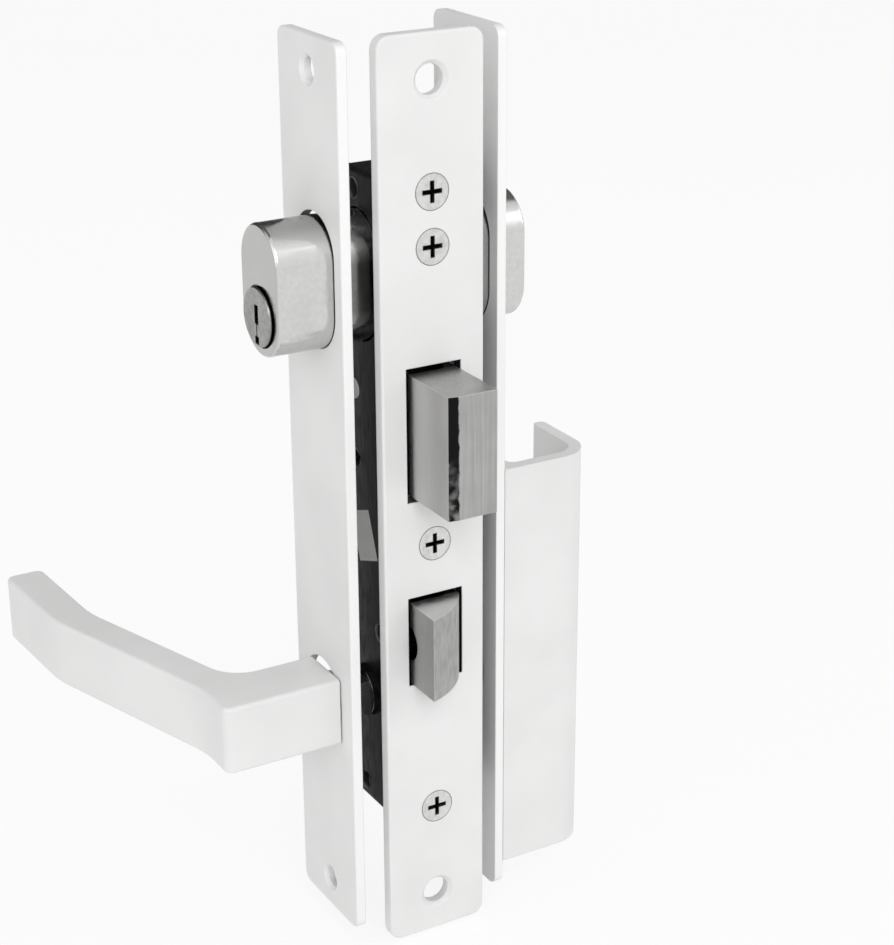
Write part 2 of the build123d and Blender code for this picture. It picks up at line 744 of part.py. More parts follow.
def make_lever_set_screw():
    """Headless screw from below that grips the spindle, with a hexagonal socket."""
    top_z = lever_axis_z - spindle_side / 2
    low_z = lever_low_z + set_screw_recess
    screw = rod_z(set_screw_x, axis_y, set_screw_radius, low_z, top_z)
    socket = RegularPolygon(set_screw_socket / 2, 6, major_radius=False)
    socket_depth = (top_z - low_z) / 2
    return screw - extrude(Pos(set_screw_x, axis_y, low_z) * socket, amount=socket_depth)


def make_side_plate(side):
    """Cover plate on the stile's face, with the cylinder's oval, the lever's bore and end holes."""
    outline = Pos(plate_centre_y, plate_centre_z) * RectangleRounded(plate_width, plate_height, plate_corner)
    plate = extrude(Plane.YZ.offset(plate_inner_x) * outline, amount=plate_thickness)
    plate = fillet(plate.faces().sort_by(Axis.X)[-1].edges(), plate_edge_round)
    x0 = plate_inner_x - overcut
    x1 = plate_outer_x + overcut
    plate -= oval_bar(x0, x1, plate_oval_side_gap, plate_oval_low_gap, plate_oval_high_gap)
    bore_y = axis_y + plate_bore_shift_y
    bore_z = lever_axis_z + plate_bore_shift_z
    plate -= rod_x(bore_y, bore_z, plate_bore_radius, x0, x1)
    for end in (1, -1):
        z = plate_centre_z + end * plate_hole_spacing / 2
        plate -= rod_x(plate_centre_y, z, plate_hole_radius, x0, x1)
        sink = Pos(plate_outer_x, plate_centre_y, z) * Rot(0, -90, 0)
        plate -= sink * sink_cone(plate_hole_radius, plate_sink_radius)
    if side < 0:
        return mirror(plate, about=Plane.YZ)
    for z in pull_screw_heights():
        seat = screw_seat(pull_screw_head_radius, pull_screw_radius, plate_thickness + overcut)
        plate -= pull_screw_place(z) * seat
    return plate


def pull_screw_heights():
    """Z of the two screws that hold the pull."""
    return [pull_mid_z + side * pull_screw_spacing / 2 for side in (1, -1)]


def pull_screw_place(z):
    """Placement on the right plate's inner face with local +Z pointing to the pull."""
    return Pos(plate_inner_x, plate_centre_y, z) * Rot(0, 90, 0)


def make_pull_handle():
    """Bent channel: base on the plate, front wall, rounded corner and grip wall, open behind."""
    base_x = plate_outer_x + pull_wall
    grip_x = pull_outer_x - pull_wall
    corners = [
        (plate_outer_x, 0),
        (pull_outer_x, 0),
        (pull_outer_x, pull_depth),
        (grip_x, pull_depth),
        (grip_x, pull_wall),
        (base_x, pull_wall),
        (base_x, pull_base_depth),
        (plate_outer_x, pull_base_depth),
    ]
    outline = make_face(Polyline(*corners, close=True))
    radii = {1: pull_corner, 4: pull_corner - pull_wall, 5: pull_root_round}
    radii.update({2: pull_lip_round, 3: pull_lip_round})
    for index, radius in radii.items():
        corner = outline.vertices().sort_by_distance(Vector(*corners[index]))[0]
        outline = fillet(corner, radius)
    pull = extrude(Plane.XY.offset(pull_low_z) * outline, amount=pull_height)
    for z in pull_screw_heights():
        pull -= rod_x(plate_centre_y, z, pull_screw_radius + fit_gap, plate_inner_x, base_x + overcut)
    return pull


def make_pull_screws():
    """Screws from the inner face of the right plate into the pull's base."""
    length = plate_thickness + pull_wall
    screw = countersunk_screw(pull_screw_head_radius, pull_screw_radius, length)
    return [pull_screw_place(z) * screw for z in pull_screw_heights()]


pieces = {
    "faceplate": make_faceplate(),
    "faceplate_screws": make_faceplate_screws(),
    "cylinder_screw": make_cylinder_screw(),
    "case_body": make_case_body(),
    "case_cover": make_case_cover(),
    "case_posts": make_case_posts(),
    "guide_rivets": make_guide_rivets(),
    "bolt_guide_left": make_bolt_guide(-1),
    "bolt_guide_right": make_bolt_guide(1),
    "latch_guide_left": make_latch_guide(-1),
    "latch_guide_right": make_latch_guide(1),
    "cylinder_body": make_cylinder_body(),
    "chamber_plugs": make_chamber_plugs(),
    "driver_pins": make_driver_pins(),
    "left_plug": make_plug(-1),
    "left_plug_clip": make_plug_clip(-1),
    "left_key_pins": make_key_pins(-1),
    "right_plug": make_plug(1),
    "right_plug_clip": make_plug_clip(1),
    "right_key_pins": make_key_pins(1),
    "cam": make_cam(),
    "clutch_core": make_clutch_core(),
    "deadbolt": make_deadbolt(),
    "latch_bolt": make_latch_bolt(),
    "latch_spring": make_latch_spring(),
    "hub": make_hub(),
    "hub_spring": make_hub_spring(),
    "spindle": make_spindle(),
    "lever_handle": make_lever_handle(),
    "lever_set_screw": make_lever_set_screw(),
    "left_plate": make_side_plate(-1),
    "right_plate": make_side_plate(1),
    "pull_handle": make_pull_handle(),
    "pull_screws": make_pull_screws(),
}

os.makedirs("parts", exist_ok=True)
for name, shape in pieces.items():
    if isinstance(shape, list):
        shape = Compound(children=shape)
    export_step(shape, f"parts/{name}.step")
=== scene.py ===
import math
from collections import namedtuple

import bmesh
import bpy
from mathutils import Matrix, Vector


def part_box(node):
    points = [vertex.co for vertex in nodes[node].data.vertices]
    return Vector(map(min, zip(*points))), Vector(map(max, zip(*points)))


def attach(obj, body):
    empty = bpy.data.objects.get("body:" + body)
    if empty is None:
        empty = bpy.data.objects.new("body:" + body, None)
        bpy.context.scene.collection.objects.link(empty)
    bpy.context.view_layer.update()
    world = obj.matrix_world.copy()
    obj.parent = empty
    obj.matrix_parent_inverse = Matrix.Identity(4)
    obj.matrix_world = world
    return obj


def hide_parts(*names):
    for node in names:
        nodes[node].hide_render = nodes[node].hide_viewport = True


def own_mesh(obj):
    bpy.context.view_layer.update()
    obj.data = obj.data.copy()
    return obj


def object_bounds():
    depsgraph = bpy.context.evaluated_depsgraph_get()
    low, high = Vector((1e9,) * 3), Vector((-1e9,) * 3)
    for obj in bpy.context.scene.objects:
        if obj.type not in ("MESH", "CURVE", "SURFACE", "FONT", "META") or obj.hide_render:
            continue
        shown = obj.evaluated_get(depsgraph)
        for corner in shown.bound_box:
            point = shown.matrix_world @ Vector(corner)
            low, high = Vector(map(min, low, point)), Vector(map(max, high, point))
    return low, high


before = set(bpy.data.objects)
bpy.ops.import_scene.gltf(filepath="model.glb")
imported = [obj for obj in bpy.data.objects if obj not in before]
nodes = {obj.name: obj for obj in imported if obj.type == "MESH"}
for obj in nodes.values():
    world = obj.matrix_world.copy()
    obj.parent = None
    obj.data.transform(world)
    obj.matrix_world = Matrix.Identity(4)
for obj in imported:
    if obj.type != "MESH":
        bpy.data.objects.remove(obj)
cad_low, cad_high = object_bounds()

scene = bpy.context.scene
mm = 0.001
full_turn = 2 * math.pi
x_axis = 0
y_axis = 1
z_axis = 2

# The picture's frame in pixels, the lens measured in pixels, and how near and far it sees in metres
picture_width = 894
picture_height = 945
focal_pixels = 2126.12
sensor_mm = 36.0
clip_near = 0.01
clip_far = 50.0

# Where the camera stands, and its turn to the right, downwards and about its own axis
camera_place = Vector((-0.21017, -0.37244, 0.18133))
camera_yaw = math.radians(30.0)
camera_down = math.radians(21.916)
camera_roll = math.radians(-0.3115)

# Even light from all round, then each lamp's place, size and power; every lamp faces the origin
ambient_strength = 0.60
lamps = {
    "key": ((-0.35, -1.1, 0.75), 0.7, 5.6),
    "left": ((-1.1, -0.2, 0.35), 0.7, 1.6),
    "right": ((0.9, -0.7, 0.6), 0.7, 2.2),
    "top": ((0.0, 0.1, 1.2), 0.8, 0.7),
}

# The floor, and two screens that only mirror-like surfaces see
floor_size = 16.0
floor_drop = 0.0005
floor_shadow_share = 0.14
floor_light = (0.95, 0.95, 0.95)
floor_shade = (0.93, 0.93, 0.93)
rear_screen = {"low": (-1.5, 1.2, 0.12), "high": (1.5, 1.2, 1.6)}
top_screen = {"low": (-0.8, -0.05, 1.0), "high": (1.2, 1.2, 1.0)}
dark_screen = (0.05, 0.05, 0.05)
dark_screen_shade = (0.09, 0.09, 0.09)
grey_screen = (0.16, 0.16, 0.16)
grey_screen_shade = (0.28, 0.28, 0.28)
stage_cloud = 6.0
stage_roughness = 0.9

# Colours of the finishes
white = (0.83, 0.83, 0.825)
white_shade = (0.785, 0.785, 0.78)
# Painted highlight for the coat's edges and the plates' front faces
highlight_white = (0.91, 0.91, 0.905)
nickel = (0.66, 0.657, 0.65)
nickel_shade = (0.62, 0.617, 0.61)
# Painted shade on the cylinder's ends, and on its top and bottom
shaded_end_nickel = (0.50, 0.498, 0.492)
shaded_top_nickel = (0.47, 0.468, 0.462)
# Painted highlight on the cylinder left of the case
highlight_nickel = (0.94, 0.938, 0.932)
dull_nickel = (0.46, 0.458, 0.452)
dull_nickel_shade = (0.38, 0.378, 0.372)
# Painted light on the deadbolt's left side
lit_bolt_side = (0.54, 0.537, 0.53)
latch_nickel = (0.44, 0.438, 0.432)
latch_nickel_shade = (0.36, 0.358, 0.352)
# Painted shade on the latch's left side, then painted light on its top
shaded_latch_side = (0.385, 0.383, 0.378)
lit_latch_top = (0.62, 0.617, 0.61)
plug_nickel = (0.36, 0.358, 0.352)
plug_nickel_shade = (0.27, 0.268, 0.262)
stripe_dark = (0.012, 0.012, 0.012)
stripe_pale = (0.26, 0.26, 0.258)
zinc = (0.76, 0.76, 0.75)
zinc_shade = (0.60, 0.60, 0.59)
# Painted shade on the rims of the faceplate's screws
shaded_rim_grey = (0.20, 0.20, 0.198)
steel = (0.45, 0.45, 0.44)
steel_shade = (0.28, 0.28, 0.27)
brass = (0.72, 0.54, 0.26)
brass_shade = (0.55, 0.38, 0.16)
black = (0.006, 0.006, 0.0063)
black_shade = (0.020, 0.020, 0.0203)
# Painted shade in openings, holes, recesses and behind the faceplate
painted_shade_dark = (0.003, 0.003, 0.003)
paper = (0.92, 0.92, 0.90)
paper_shade = (0.80, 0.80, 0.785)
# The paper patch's pale border, also used for the painted glint on one rivet
paper_edge_and_glint = (0.96, 0.96, 0.95)

# Lines to the metre along each axis: a small number draws the pattern out along that axis
grain_x = (40.0, 2600.0, 2600.0)
grain_y = (2600.0, 60.0, 2600.0)
grain_z = (2600.0, 2600.0, 40.0)
grain_fine = (900.0, 900.0, 900.0)
grain_cast = (700.0, 700.0, 300.0)

# Patterns: how fine their detail is, and how far a pattern moves a point away from the middle
noise_detail = 3.0
shake_detail = 4.0
shake_gain = 4
noise_middle = (0.5, 0.5, 0.5)

# A surface starts to face along an axis, and faces it fully, at these parts of its direction
facing_span = (0.6, 0.9)

# Cosines of how far rounding would turn the surface: on a flat, and where an edge shows fully
edge_turn_span = (1.0, 0.9)
edge_samples = 6

# Powder coat: patches to the metre, and relief and rounding in millimetres
coat_cloud = 45.0
coat_cloud_span = (0.35, 0.65)
coat_peel = 1500.0
coat_peel_detail = 2.0
coat_peel_span = (0.3, 0.7)
coat_roughness_span = (0.37, 0.48)
coat_bump = 0.12
coat_bump_depth = 0.03
coat_edge_radius = 0.3

# Brushed metal: the shares of lines and clouds, their roughness, and relief and rounding in millimetres
line_detail = 4.0
line_share = 0.6
metal_cloud = 140.0
metal_cloud_share = 0.4
metal_span = (0.38, 0.62)
metal_roughness = 0.3
polished_roughness = 0.13
plug_roughness = 0.26
latch_roughness = 0.34
guide_roughness = 0.36
roughness_rise = 0.14
metal_scratch = 0.2
polished_scratch = 0.02
plug_scratch = 0.25
scratch_depth = 0.02
metal_edge_radius = 0.15
# Edges grow brighter within this rounding and by this gain: part wear, part a painted highlight
worn_highlight_radius = 0.3
edge_wear_and_highlight_gain = 1.25

# Blackened steel: mottling and wear in patches to the metre, and relief and rounding in millimetres
mottle_grain = (760.0, 760.0, 240.0)
mottle_detail = 6.0
mottle_span = (0.42, 0.64)
mottle_bump = 0.35
mottle_depth = 0.12
wear_patches = 260.0
wear_span = (0.42, 0.6)
case_wear = 0.8
hub_wear_and_glint = 1.0
black_roughness_span = (0.28, 0.5)
black_specular = 0.1
black_edge_radius = 0.15
black_worn_radius = 0.25

# The dark bevel on the deadbolt's front, in millimetres, its ragged edge and its paler patches
stripe_width = 2.25
stripe_depth = 0.7
stripe_pale_height = 15.0
stripe_ragged = 0.25
stripe_ragged_scale = 500.0
stripe_blur = 0.15
stripe_patch_scale = 450.0
stripe_patch_detail = 5.0
stripe_patch_span = (0.42, 0.62)

# The bare paper patch on the case's left side, in millimetres
patch_middle = (0.0, 12.1, -8.0)
patch_half_width = 4.4
patch_half_height = 5.75
patch_border = 0.45
patch_turn = math.radians(20.0)
patch_depth = 0.2
patch_blur = 0.12
paper_cloud = 400.0

# The rim around a plug's face that stays bright outside the painted shade, in millimetres
plug_rim = 0.45

# The cylinder left of the case, with a painted dark reflection and painted highlights: its ragged ends in
# millimetres, then parts of its half height
waist_ragged = 0.3
waist_ragged_scale = 300.0
waist_blur = 0.3
waist_end = 0.0
waist_rim_span = (0.5, 0.75)
waist_core_span = (0.35, 0.6)
waist_core_darkness = 0.6

# The one rivet among the case's black ones that carries a painted glint, by its height in millimetres
glint_rivet_low = 22.0
glint_rivet_high = 29.5
glint_rivet_blur = 0.2

# How deep behind the faceplate's front openings, bolts and screw recesses get painted shade, in millimetres
face_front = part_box("faceplate")[0][y_axis] / mm
wall_dark_from = 0.3
wall_blur = 0.08
bolt_dark_from = 0.85
bolt_dark_blur = 0.3
recess_dark_from = 0.65
recess_dark_blur = 0.6
opening_margin = 1.6
opening_rear = -0.1

# The wall of a plate's hole for the cylinder gets painted shade inside these margins, in millimetres
plate_hole_margin = 1.4
plate_face_margin = 0.12
plate_wall_blur = 0.05

# Round-wire springs with closed end turns: the wire's radius in millimetres, the turns in all and at each
# end, and the steps and sides of the mesh
spring_wire_radius = 0.35
spring_turns = 6
spring_end_turns = 0.8
spring_steps = 28
spring_sides = 10

# A finish: its material, node tree, surface shader and point in the object's frame
Finish = namedtuple("Finish", "material tree surface point")

# Sockets of a colour mix: its share, its two colours and its result
mix_share = 0
mix_first = 6
mix_second = 7
mix_result = 2


def add(tree, kind, **values):
    """A shader node, with the named inputs and settings given."""
    made = tree.nodes.new("ShaderNode" + kind)
    for name, value in values.items():
        label = name.replace("_", " ")
        if label in made.inputs:
            made.inputs[label].default_value = value
        else:
            setattr(made, name, value)
    return made


def new_finish(name):
    """An empty finish of that name."""
    material = bpy.data.materials.new(name)
    material.use_nodes = True
    tree = material.node_tree
    surface = tree.nodes["Principled BSDF"]
    point = add(tree, "TexCoord").outputs["Object"]
    return Finish(material, tree, surface, point)


def stretched(tree, point, stretch):
    """The point with each axis scaled, so that a pattern is drawn out along the axes of small scale."""
    mapping = add(tree, "Mapping")
    mapping.inputs["Scale"].default_value = stretch
    tree.links.new(point, mapping.inputs["Vector"])
    return mapping.outputs["Vector"]


def noise(tree, point, scale, detail=noise_detail):
    """A cloudy pattern from 0 to 1, with scale patches to the metre."""
    made = add(tree, "TexNoise", Scale=scale, Detail=detail)
    tree.links.new(point, made.inputs["Vector"])
    return made.outputs["Fac"]


def spread(tree, value, span, result=(0.0, 1.0)):
    """value carried from one span to another and held inside it."""
    made = add(tree, "MapRange", From_Min=span[0], From_Max=span[1], To_Min=result[0], To_Max=result[1])
    tree.links.new(value, made.inputs["Value"])
    return made.outputs["Result"]


def mixed(tree, share, first, second):
    """A colour between two colours or colour outputs."""
    made = add(tree, "Mix", data_type="RGBA")
    tree.links.new(share, made.inputs[mix_share])
    for socket, colour in ((made.inputs[mix_first], first), (made.inputs[mix_second], second)):
        if isinstance(colour, tuple):
            socket.default_value = (*colour, 1.0)
        else:
            tree.links.new(colour, socket)
    return made.outputs[mix_result]


def combined(tree, operation, first, second):
    """A sum, product or other operation on two values or value outputs."""
    made = add(tree, "Math", operation=operation)
    for socket, value in zip(made.inputs, (first, second)):
        if isinstance(value, (int, float)):
            socket.default_value = value
        else:
            tree.links.new(value, socket)
    return made.outputs[0]


def part_of(tree, vector, axis):
    """One coordinate of a point or a direction."""
    parts = add(tree, "SeparateXYZ")
    tree.links.new(vector, parts.inputs[0])
    return parts.outputs[axis]


def shaken(tree, point, scale, reach):
    """The point moved about by up to reach millimetres, so that a region's edge comes out ragged."""
    cloud = add(tree, "TexNoise", Scale=scale, Detail=shake_detail)
    tree.links.new(point, cloud.inputs["Vector"])
    centred = add(tree, "VectorMath", operation="SUBTRACT")
    tree.links.new(cloud.outputs["Color"], centred.inputs[0])
    centred.inputs[1].default_value = noise_middle
    small = add(tree, "VectorMath", operation="SCALE")
    small.inputs["Scale"].default_value = shake_gain * reach * mm
    tree.links.new(centred.outputs[0], small.inputs[0])
    moved = add(tree, "VectorMath", operation="ADD")
    tree.links.new(point, moved.inputs[0])
    tree.links.new(small.outputs[0], moved.inputs[1])
    return moved.outputs[0]


def inside(tree, point, low, high, blur):
    """1 inside a box in the object's frame and 0 outside, with blurred edges, all in millimetres."""
    share = None
    for axis, (start, end) in enumerate(zip(low, high)):
        for edge, sign in ((start, 1), (end, -1)):
            if edge is None:
                continue
            near = (edge - sign * blur) * mm
            far = (edge + sign * blur) * mm
            step = spread(tree, part_of(tree, point, axis), (near, far))
            share = step if share is None else combined(tree, "MULTIPLY", share, step)
    return share


def facing(tree, axis, sign):
    """1 on surfaces that face along an axis, 0 on those that face across it or away."""
    turned = part_of(tree, add(tree, "NewGeometry").outputs["Normal"], axis)
    return spread(tree, turned, (facing_span[0] * sign, facing_span[1] * sign))


def facing_ends(tree):
    """1 on surfaces that face left or right."""
    return combined(tree, "ADD", facing(tree, x_axis, -1), facing(tree, x_axis, 1))


def edge_share(tree, radius):
    """1 near the edges of a piece and 0 on its flats, from how far a rounded edge would turn the surface."""
    rounded = add(tree, "Bevel", samples=edge_samples, Radius=radius * mm)
    turn = add(tree, "VectorMath", operation="DOT_PRODUCT")
    tree.links.new(rounded.outputs[0], turn.inputs[0])
    tree.links.new(add(tree, "NewGeometry").outputs["Normal"], turn.inputs[1])
    return spread(tree, turn.outputs["Value"], edge_turn_span)


def bumped(finish, height, strength, depth, edge_radius):
    """Relief on the surface, over edges that look rounded."""
    tree = finish.tree
    rounded = add(tree, "Bevel", samples=edge_samples, Radius=edge_radius * mm)
    bump = add(tree, "Bump", Strength=strength, Distance=depth * mm)
    tree.links.new(height, bump.inputs["Height"])
    tree.links.new(rounded.outputs[0], bump.inputs["Normal"])
    tree.links.new(bump.outputs[0], finish.surface.inputs["Normal"])


def tint(finish, share, tone):
    """Lays a tone over a finish's colour where share is 1."""
    socket = finish.surface.inputs["Base Color"]
    below = socket.links[0].from_socket
    finish.tree.links.new(mixed(finish.tree, share, below, tone), socket)


def paint(finish, *names):
    """Puts one finish on the named solids."""
    for name in names:
        slots = nodes[name].data.materials
        slots.clear()
        slots.append(finish.material)


def powder_coat(name):
    """Satin powder coat: faint clouding, a fine orange-peel skin, and softened edges made paler by a painted
    highlight.
    """
    finish = new_finish(name)
    tree = finish.tree
    cloud = spread(tree, noise(tree, finish.point, coat_cloud), coat_cloud_span)
    tree.links.new(mixed(tree, cloud, white, white_shade), finish.surface.inputs["Base Color"])
    tint(finish, edge_share(tree, coat_edge_radius), highlight_white)
    peel = noise(tree, finish.point, coat_peel, coat_peel_detail)
    roughness = spread(tree, peel, coat_peel_span, coat_roughness_span)
    tree.links.new(roughness, finish.surface.inputs["Roughness"])
    bumped(finish, peel, coat_bump, coat_bump_depth, coat_edge_radius)
    return finish


def brushed_metal(name, light, shade, grain, roughness=metal_roughness, scratch=metal_scratch, edge=None):
    """Plated metal with brush lines along its grain, and edges brighter unless a tone is given, partly from
    wear and partly a painted highlight.
    """
    finish = new_finish(name)
    tree = finish.tree
    finish.surface.inputs["Metallic"].default_value = 1.0
    lines = noise(tree, stretched(tree, finish.point, grain), 1.0, line_detail)
    cloud = noise(tree, finish.point, metal_cloud)
    line_part = combined(tree, "MULTIPLY", lines, line_share)
    cloud_part = combined(tree, "MULTIPLY", cloud, metal_cloud_share)
    share = spread(tree, combined(tree, "ADD", line_part, cloud_part), metal_span)
    tree.links.new(mixed(tree, share, light, shade), finish.surface.inputs["Base Color"])
    bright = tuple(min(1.0, channel * edge_wear_and_highlight_gain) for channel in light)
    tint(finish, edge_share(tree, worn_highlight_radius), edge or bright)
    rough = spread(tree, share, (0.0, 1.0), (roughness, roughness + roughness_rise))
    tree.links.new(rough, finish.surface.inputs["Roughness"])
    bumped(finish, lines, scratch, scratch_depth, metal_edge_radius)
    return finish


def black_steel(name, wear, worn_tone):
    """Blackened steel with grey mottling, and bare metal showing along its edges."""
    finish = new_finish(name)
    tree = finish.tree
    mottle = noise(tree, stretched(tree, finish.point, mottle_grain), 1.0, mottle_detail)
    share = spread(tree, mottle, mottle_span)
    tree.links.new(mixed(tree, share, black, black_shade), finish.surface.inputs["Base Color"])
    patches = spread(tree, noise(tree, finish.point, wear_patches), wear_span, (0.0, wear))
    tint(finish, combined(tree, "MULTIPLY", edge_share(tree, black_worn_radius), patches), worn_tone)
    rough = spread(tree, share, (0.0, 1.0), black_roughness_span)
    tree.links.new(rough, finish.surface.inputs["Roughness"])
    finish.surface.inputs["Specular IOR Level"].default_value = black_specular
    bumped(finish, mottle, mottle_bump, mottle_depth, black_edge_radius)
    return finish


def darken_behind_face(finish, depth, blur):
    """What lies deeper than depth behind the faceplate's front gets painted shade."""
    share = inside(finish.tree, finish.point, (None, face_front + depth, None), (None, None, None), blur)
    tint(finish, share, painted_shade_dark)


def darken_openings(finish):
    """The cut walls of the openings for the deadbolt and the latch get painted shade."""
    for name in ("deadbolt", "latch_bolt"):
        low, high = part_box(name)
        start = [value / mm - opening_margin for value in low]
        end = [value / mm + opening_margin for value in high]
        start[y_axis] = face_front + wall_dark_from
        end[y_axis] = opening_rear
        tint(finish, inside(finish.tree, finish.point, start, end, wall_blur), painted_shade_dark)


def darken_plate_holes(finish):
    """The walls of the holes in both plates that the cylinder passes through get painted shade."""
    low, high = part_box("cylinder_body")
    for name in ("left_plate", "right_plate"):
        plate_low, plate_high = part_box(name)
        start = [value / mm - plate_hole_margin for value in low]
        end = [value / mm + plate_hole_margin for value in high]
        start[x_axis] = plate_low[x_axis] / mm + plate_face_margin
        end[x_axis] = plate_high[x_axis] / mm - plate_face_margin
        tint(finish, inside(finish.tree, finish.point, start, end, plate_wall_blur), painted_shade_dark)


def darken_stripe(finish):
    """The narrow bevel at the left of the deadbolt's front is nearly black, with paler patches towards its
    foot.
    """
    tree = finish.tree
    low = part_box("deadbolt")[0]
    ragged = shaken(tree, finish.point, stripe_ragged_scale, stripe_ragged)
    end = (low[x_axis] / mm + stripe_width, low[y_axis] / mm + stripe_depth, None)
    bevel = inside(tree, ragged, (None, None, None), end, stripe_blur)
    bevel = combined(tree, "MULTIPLY", bevel, facing(tree, y_axis, -1))
    height = part_of(tree, finish.point, z_axis)
    pale_span = (low[z_axis], low[z_axis] + stripe_pale_height * mm)
    low_share = spread(tree, height, pale_span, (1.0, 0.0))
    pale_patches = spread(tree, noise(tree, finish.point, stripe_patch_scale, stripe_patch_detail), stripe_patch_span)
    tone = mixed(tree, combined(tree, "MULTIPLY", low_share, pale_patches), stripe_dark, stripe_pale)
    tint(finish, bevel, tone)


def darken_plug(finish):
    """A plug's round wall and its keyway get painted shade, all but a bright rim around its face."""
    tree = finish.tree
    left_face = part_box("left_plug")[0][x_axis] / mm + plug_rim
    right_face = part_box("right_plug")[1][x_axis] / mm - plug_rim
    deep = inside(tree, finish.point, (left_face, None, None), (right_face, None, None), wall_blur)
    walls = spread(tree, facing_ends(tree), (0.0, 1.0), (1.0, 0.0))
    tint(finish, combined(tree, "MULTIPLY", deep, walls), painted_shade_dark)


def darken_waist(finish):
    """Left of the case the cylinder has a painted dark reflection in its middle and a painted highlight
    above and below.
    """
    tree = finish.tree
    low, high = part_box("cylinder_body")
    half = (high[z_axis] - low[z_axis]) / 2
    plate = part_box("left_plate")[1][x_axis] / mm
    ragged = shaken(tree, finish.point, waist_ragged_scale, waist_ragged)
    waist = inside(tree, ragged, (plate, None, None), (waist_end, None, None), waist_blur)
    height = combined(tree, "SUBTRACT", part_of(tree, finish.point, z_axis), low[z_axis] + half)
    away = combined(tree, "ABSOLUTE", height, 0.0)
    rim = spread(tree, away, [part * half for part in waist_rim_span])
    tint(finish, combined(tree, "MULTIPLY", waist, rim), highlight_nickel)
    core = spread(tree, away, [part * half for part in waist_core_span], (waist_core_darkness, 0.0))
    tint(finish, combined(tree, "MULTIPLY", waist, core), painted_shade_dark)


def stick_paper(finish):
    """A bare paper patch, turned a little, with a pale border."""
    tree = finish.tree
    turned = add(tree, "Mapping", vector_type="TEXTURE")
    turned.inputs["Location"].default_value = [value * mm for value in patch_middle]
    turned.inputs["Rotation"].default_value = (-patch_turn, 0.0, 0.0)
    tree.links.new(finish.point, turned.inputs["Vector"])
    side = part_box("case_body")[0][x_axis] / mm + patch_depth
    creased = mixed(tree, noise(tree, finish.point, paper_cloud), paper, paper_shade)
    for border, tone in ((0.0, paper_edge_and_glint), (patch_border, creased)):
        width = patch_half_width - border
        height = patch_half_height - border
        low = (None, -width, -height)
        high = (side, width, height)
        tint(finish, inside(tree, turned.outputs["Vector"], low, high, patch_blur), tone)


def wire_rise(turn, end_share):
    """How far along the spring the wire is after some turns, from 0 to 1: slowly in the closed end turns."""
    if turn < spring_end_turns:
        return end_share * turn / spring_end_turns
    left = spring_turns - turn
    if left < spring_end_turns:
        return 1.0 - end_share * left / spring_end_turns
    open_turns = spring_turns - 2 * spring_end_turns
    return end_share + (1.0 - 2 * end_share) * (turn - spring_end_turns) / open_turns


def spring_mesh(name, low, high):
    """A coil of round wire that fills a box along Y, with flat wire ends."""
    wire = spring_wire_radius * mm
    coil = (high[x_axis] - low[x_axis]) / 2 - wire
    middle_x = (low[x_axis] + high[x_axis]) / 2
    middle_z = (low[z_axis] + high[z_axis]) / 2
    length = high[y_axis] - low[y_axis] - 2 * wire
    end_share = 2 * wire * spring_end_turns / length
    rings = []
    made = bmesh.new()
    for step in range(spring_turns * spring_steps + 1):
        turn = step / spring_steps
        angle = full_turn * turn
        level = low[y_axis] + wire + length * wire_rise(turn, end_share)
        ring = []
        for side in range(spring_sides):
            around = full_turn * side / spring_sides
            reach = coil + wire * math.cos(around)
            x = middle_x + reach * math.cos(angle)
            z = middle_z + reach * math.sin(angle)
            ring.append(made.verts.new((x, level + wire * math.sin(around), z)))
        rings.append(ring)
    for near, far in zip(rings, rings[1:]):
        for side in range(spring_sides):
            after = (side + 1) % spring_sides
            made.faces.new((near[side], near[after], far[after], far[side])).smooth = True
    made.faces.new(rings[0])
    made.faces.new(rings[-1])
    bmesh.ops.recalc_face_normals(made, faces=made.faces)
    mesh = bpy.data.meshes.new(name)
    made.to_mesh(mesh)
    made.free()
    return mesh


def make_spring(node, finish):
    """A round-wire spring in a plain solid's place, fixed to the frame."""
    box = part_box(node)
    name = node + "_wire"
    mesh = spring_mesh(name, *box)
    mesh.materials.append(finish.material)
    piece = bpy.data.objects.new(name, mesh)
    scene.collection.objects.link(piece)
    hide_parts(node)
    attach(piece, "frame")
    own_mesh(piece)


# White pieces
coat = powder_coat("white_coat")
darken_openings(coat)
paint(coat, "faceplate", "lever_handle", "pull_handle")
plate_coat = powder_coat("plate_coat")
# Painted highlight: the plates' faces towards the front are paler
tint(plate_coat, facing(plate_coat.tree, y_axis, -1), highlight_white)
darken_plate_holes(plate_coat)
paint(plate_coat, "left_plate", "right_plate")

# Nickel pieces: the cylinder and its plugs, then the two bolts
cylinder = brushed_metal(
    "polished_nickel", nickel, nickel_shade, grain_fine, polished_roughness, polished_scratch
)
# Painted shade: the cylinder is darker on its ends, top and bottom
tint(cylinder, facing_ends(cylinder.tree), shaded_end_nickel)
for upright in (-1, 1):
    tint(cylinder, facing(cylinder.tree, z_axis, upright), shaded_top_nickel)
darken_waist(cylinder)
paint(cylinder, "cylinder_body", "chamber_plugs")
plug = brushed_metal("plug_nickel", plug_nickel, plug_nickel_shade, grain_fine, plug_roughness, plug_scratch)
darken_plug(plug)
paint(plug, "left_plug", "right_plug")
bolt = brushed_metal("bolt_nickel", dull_nickel, dull_nickel_shade, grain_z)
# Painted light: the deadbolt's left side is paler than its front
tint(bolt, facing(bolt.tree, x_axis, -1), lit_bolt_side)
darken_stripe(bolt)
darken_behind_face(bolt, bolt_dark_from, bolt_dark_blur)
paint(bolt, "deadbolt")
latch = brushed_metal("latch_nickel", latch_nickel, latch_nickel_shade, grain_cast, latch_roughness)
